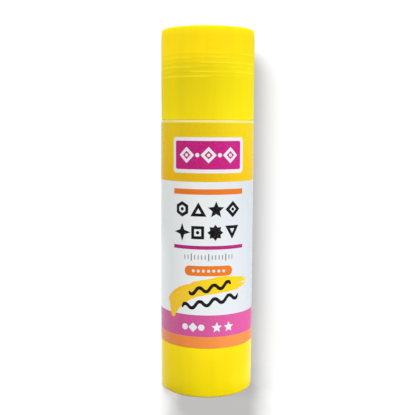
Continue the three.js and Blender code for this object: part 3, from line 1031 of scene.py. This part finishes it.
# %% The film's surface
FILM_IOR = 1.5
mottle = spread(grain(where, 0.35, detail=2), 0.45, 0.8, 0, 0.04)
handled = grain(where, 5.0, stretch=(1, 1, 0.6))
fine_skin = grain(where, 0.5, detail=2)
worn = plus(handled, times(fine_skin, 0.3))
plug_in(shader, {
    "Base Color": lay_over(design, screen(255, 255, 255), mottle),
    "Roughness": spread(worn, 0.5, 0.9, 0.24, 0.33),
    "IOR": FILM_IOR,
    "Specular IOR Level": 0.035,
})
relief(shader, fine_skin, 0.003, 0.4)
wear(label_film, film_finish)
print("film finish has", len(film_finish.node_tree.nodes), "nodes")

# %% [markdown]
# ## Stage
# The picture has a plain white ground on which the stick throws a soft shadow to the right and
# down, as on a card close behind it. So there is a floor, and a card that only the camera sees: it
# takes the shadow and leaves the light on the stick alone. The card is clear from behind, so that
# the stick can be looked at from all sides. Both have a dark paint under strong lamps of their own.
# The room's light then hardly shows on them, and the shadow is mostly the lamps', clean and neutral.
# The card's shadow would stop short where the card meets the floor, so a painted shadow darkens the
# floor's paint in a soft strip from there to the front of the stick's foot. Along the rims of its own
# shadow the floor has painted light that makes it glow a little more. The card is turned a little
# about its upright, so that from the stick's right side it is seen from behind, and is clear there
# too.

# %% The floor's paint
CARD_AT = 17.0
STAGE_PAINT = 0.1
STAGE_GLOW = 0.46
STRIP_SLANT = 0.065
SHADOW_LEFT = -10.8


def floor_paint(tree):
    x, y = in_mm(add_node(tree, "TexCoord").outputs["Object"], "X", "Y")
    # A painted shadow strip beside the foot continues the card's shadow.
    beside = minus(x, times(y, STRIP_SLANT))
    fades_right = spread(beside, 11.6, 25.2, 1.1, 0, "SMOOTHSTEP")
    fades_left = spread(x, 0, 5, 0, 1)
    fades_ahead = spread(y, -19.0, -4.0, 0, 1, "SMOOTHSTEP")
    fades_behind = spread(y, CARD_AT, 40.0, 1, 0, "SMOOTHSTEP")
    strip = times(fades_right, times(times(fades_ahead, fades_left), fades_behind))
    paint = times(minus(1.0, strip, clamp=True), STAGE_PAINT)
    # Painted light along the rims of the floor's shadow, left and right.
    painted_right_light = times(spread(y, -15.0, -30.0, 0, 0.2), spread(x, 13.0, 17.0, 0, 1))
    from_rim = size_of(minus(x, SHADOW_LEFT))
    painted_left_light = times(spread(y, -30.0, -15.0, 0, 0.14), spread(from_rim, 0.8, 3.0, 1, 0))
    painted_light_past_left = spread(x, -10.5, -13.5, 0, 0.095)
    painted_rim_light = plus(painted_right_light, plus(painted_left_light, painted_light_past_left))
    # The glow carries the painted rim light.
    return paint, plus(painted_rim_light, STAGE_GLOW)


print("paint:", STAGE_PAINT, "glow:", STAGE_GLOW)

# %% Floor and card
STAGE_SIZE = 4
CARD_TURN = math.radians(-8)
UPRIGHT = (math.pi / 2, 0, CARD_TURN)


def seen_rays(tree):
    path = add_node(tree, "LightPath").outputs
    mirrored = larger(path["Is Glossy Ray"], path["Is Transmission Ray"])
    return larger(path["Is Camera Ray"], mirrored)


def stage_finish(name, clear_behind):
    finish = bpy.data.materials.new(name)
    finish.use_nodes = True
    tree = finish.node_tree
    tree.nodes.clear()
    paint, glow = (STAGE_PAINT, STAGE_GLOW) if clear_behind else floor_paint(tree)
    grey = add_node(tree, "CombineColor", paint, paint, paint)
    matt = add_node(tree, "BsdfDiffuse", grey.outputs[0])
    light = add_node(tree, "Emission")
    plug_in(light, {"Strength": times(seen_rays(tree), glow)})
    surface = add_node(tree, "AddShader", matt.outputs[0], light.outputs[0])
    if clear_behind:
        behind = add_node(tree, "NewGeometry").outputs["Backfacing"]
        clear = add_node(tree, "BsdfTransparent")
        surface = add_node(tree, "MixShader", behind, surface.outputs[0], clear.outputs[0])
    add_node(tree, "OutputMaterial", surface.outputs[0])
    return finish


def stage_plane(name, finish, location, rotation=(0, 0, 0)):
    bpy.ops.object.select_all(action="DESELECT")
    bpy.ops.mesh.primitive_plane_add(size=STAGE_SIZE, location=location, rotation=rotation)
    plane = bpy.context.active_object
    plane.name = name
    wear(plane, finish)
    return plane


floor = stage_plane("floor", stage_finish("pale floor", False), (0, 0, -0.02 * MM))
card = stage_plane("card", stage_finish("pale card", True), (0, CARD_AT * MM, 0), UPRIGHT)
card.visible_diffuse = card.visible_glossy = card.visible_transmission = card.visible_shadow = False
print("stage:", floor.name, card.name)

# %% [markdown]
# ## Light
# The room is plain and nearly white. A big soft lamp from the right and above makes the right side
# brighter than the left, a weaker one fills the left, a small one low in front lifts the foot, and
# another, close above on the left, lifts the cap's crown. These two stand so close that the gloss
# would mirror them, so they are kept out of it. Narrow strips behind the stick draw thin bright
# lines down the sides of the glossy knob. Each lamp is linked to what it is meant to light. The
# shadows are thrown by suns. The one for the card comes from the front and the upper left. The one
# for the floor comes from behind, and lays the shadow in front of the stick's foot.

# %% The room
ROOM_LIGHT = 0.62
ROOM_SEEN = 1.0
world = bpy.data.worlds.new("pale room")
bpy.context.scene.world = world
world.use_nodes = True
tree = world.node_tree
tree.nodes.clear()
strength = spread(seen_rays(tree), 0, 1, ROOM_LIGHT, ROOM_SEEN)
room = add_node(tree, "Background", (1, 1, 1, 1), strength)
add_node(tree, "OutputWorld", room.outputs[0])
print("room:", world.name)

# %% Lamps
def lit_only(name, *pieces):
    lit = bpy.data.collections.new(name)
    for piece in pieces:
        lit.objects.link(piece)
    return lit


def add_lamp(name, place, aim, strength, lit, size=None, softness=0):
    data = bpy.data.lights.new(name, "AREA" if size else "SUN")
    data.energy = strength
    if size:
        data.shape = "RECTANGLE"
        data.size, data.size_y = size
    else:
        data.angle = math.radians(softness)
    lamp = bpy.data.objects.new(name, data)
    bpy.context.scene.collection.objects.link(lamp)
    lamp.location = place
    lamp.rotation_euler = (Vector(aim) - Vector(place)).to_track_quat("-Z", "Y").to_euler()
    lamp.visible_camera = False
    lamp.light_linking.receiver_collection = lit
    return lamp


MIDDLE = (0, 0, 0.058)
TOP = (0, 0, 0.1158)
CROWN = (-0.015, 0, 0.11)
FOOT = (0, 0, 0.008)
FRONT_SUN = (-0.305, -1.0, 0.72)
BACK_SUN = (-0.136, 1.0, 2.2)
inside = [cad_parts["spindle"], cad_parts["carrier"]]
stick = lit_only("lit stick", cap_shell, barrel_tube, label_film, knob_cup, glue_block, *inside)
cap_only = lit_only("lit cap", cap_shell)
knob_only = lit_only("lit knob", knob_cup)
floor_only = lit_only("lit floor", floor)
card_only = lit_only("lit card", card)
add_lamp("right softbox", (0.55, -0.4, 0.3), MIDDLE, 2.2, stick, (0.5, 0.6))
add_lamp("left softbox", (-0.7, -0.19, 0.25), MIDDLE, 1.25, stick, (0.4, 0.5))
add_lamp("top softbox", (0.05, -0.15, 0.6), TOP, 1.65, stick, (0.4, 0.4))
crown_light = add_lamp("crown light", (-0.06, -0.03, 0.2), CROWN, 0.017, cap_only, (0.03, 0.03))
low_fill = add_lamp("low fill", (0.045, -0.085, 0.009), FOOT, 0.024, stick, (0.08, 0.015))
crown_light.visible_glossy = low_fill.visible_glossy = False
add_lamp("left strip", (-0.142, 0.32, 0.06), MIDDLE, 0.45, knob_only, (0.03, 0.35))
add_lamp("right strip", (0.317, 0.148, 0.06), MIDDLE, 0.55, knob_only, (0.035, 0.35))
add_lamp("far right strip", (0.234, 0.26, 0.06), MIDDLE, 0.4, knob_only, (0.03, 0.35))
add_lamp("card sun", FRONT_SUN, (0, 0, 0), 19.9, card_only, softness=26)
add_lamp("floor sun", BACK_SUN, (0, 0, 0), 17.5, floor_only, softness=11)
print("lamps:", len(bpy.data.lights))

# %% [markdown]
# ## Camera
# The photograph was taken from a little above the stick's middle, at about a quarter of a metre,
# with a slightly long lens. The numbers come from fitting the outline of the stick: a tilt of six
# degrees down, and a roll of a third of a degree.

# %% Camera
CAMERA_AT = (0, -0.23865, 0.08568)
CAMERA_LENS = 63.3
CAMERA_PAN = math.radians(-0.075)
CAMERA_TILT = math.radians(90 - 6.374)
CAMERA_ROLL = math.radians(0.337)
camera_data = bpy.data.cameras.new("camera")
camera_data.sensor_width = 36.0
camera_data.lens = CAMERA_LENS
camera_data.clip_start = 0.01
camera = bpy.data.objects.new("camera", camera_data)
bpy.context.scene.collection.objects.link(camera)
camera.location = CAMERA_AT
camera.rotation_euler = (
    Matrix.Rotation(CAMERA_PAN, 3, "Z")
    @ Matrix.Rotation(CAMERA_TILT, 3, "X")
    @ Matrix.Rotation(CAMERA_ROLL, 3, "Z")
).to_euler()
bpy.context.scene.camera = camera
bpy.context.scene.view_settings.view_transform = "Standard"
print("camera tilt:", round(math.degrees(camera.rotation_euler.x), 2), "degrees")
